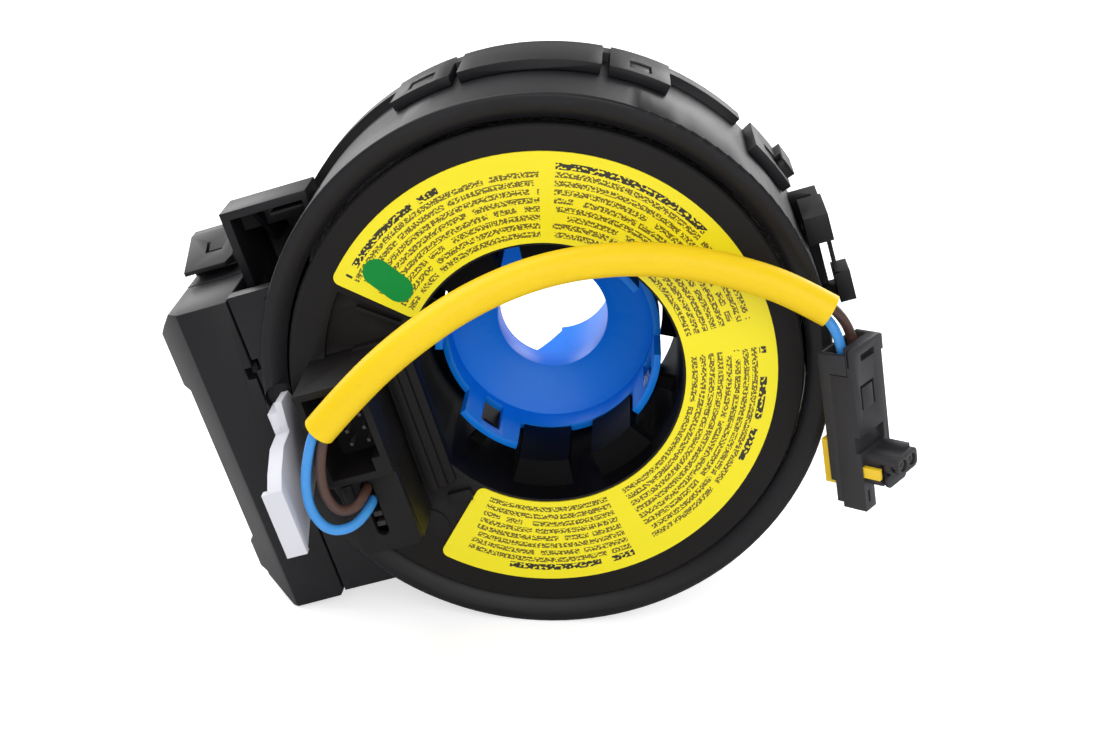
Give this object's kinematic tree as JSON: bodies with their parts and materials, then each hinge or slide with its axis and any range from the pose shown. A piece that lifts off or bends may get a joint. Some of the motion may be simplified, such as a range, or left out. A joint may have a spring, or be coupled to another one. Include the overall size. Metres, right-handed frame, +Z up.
{
  "type": "steering clock spring",
  "caption": "Round steering-column clock spring with a labelled turning rotor, blue cancel sleeve, side connector block and a sleeved airbag lead ending in a plug.",
  "frame": {"origin": "on the rotor's axis, in the plane of the label's front, where the steering wheel's boss comes on", "axes": "+Y back along the rotor's axis towards the steering column, +X right seen from the labelled side, +Z up as it stands on its drum and the block's foot"},
  "size_m": [0.123, 0.0692, 0.0942],
  "materials": {
    "black_plastic": "moulded black plastic, satin",
    "rotor_plastic": "moulded black plastic, satin",
    "plug_plastic": "moulded dark grey plastic",
    "pin_metal": "tinned brass",
    "ribbon": "laminated ribbon, semi-matte",
    "slip_sheet": "slip sheet, smooth",
    "blue_plastic": "slippery blue plastic, satin",
    "yellow_label": "printed film label, satin",
    "green_print": "printed field",
    "white_plastic": "moulded white plastic",
    "yellow_sleeve": "soft vinyl sleeve, satin",
    "blue_jacket": "vinyl wire jacket",
    "brown_jacket": "vinyl wire jacket",
    "yellow_plastic": "moulded yellow plastic"
  },
  "bodies": {
    "stator": {"rear_case": "black_plastic", "front_ring": "black_plastic", "side_cover": "black_plastic", "outer_lead_block": "black_plastic", "harness_pins": "pin_metal", "airbag_pins": "pin_metal", "flat_cable": "ribbon", "slide_sheet": "slip_sheet"},
    "rotor": {"rotor": "rotor_plastic", "cancel_sleeve": "blue_plastic", "label": "yellow_label", "label_badge": "green_print", "inner_lead_block": "rotor_plastic", "tower_pins": "pin_metal", "lead_cover": "rotor_plastic", "lead_terminals": "pin_metal", "lead_sleeve": "yellow_sleeve", "blue_wire": "blue_jacket", "brown_wire": "brown_jacket", "squib_body": "plug_plastic", "squib_cover": "plug_plastic", "squib_contacts": "pin_metal"},
    "lock_key": {"lock_key": "white_plastic"},
    "squib_lock": {"squib_lock": "yellow_plastic"}
  },
  "joints": [
    {"name": "rotor_turn", "type": "hinge", "parent": "stator", "child": "rotor", "pos_m": [0, 0, 0], "axis": [0, 1, 0], "range_deg": [-1080, 1080], "deforming": ["flat_cable"]},
    {"name": "key_pull", "type": "slide", "parent": "rotor", "child": "lock_key", "axis": [0, -1, 0], "range_m": [0, 0.008]},
    {"name": "squib_lock_slide", "type": "slide", "parent": "rotor", "child": "squib_lock", "axis": [-0.7522, 0.6468, -0.1259], "range_m": [0, 0.0025]}
  ]
}
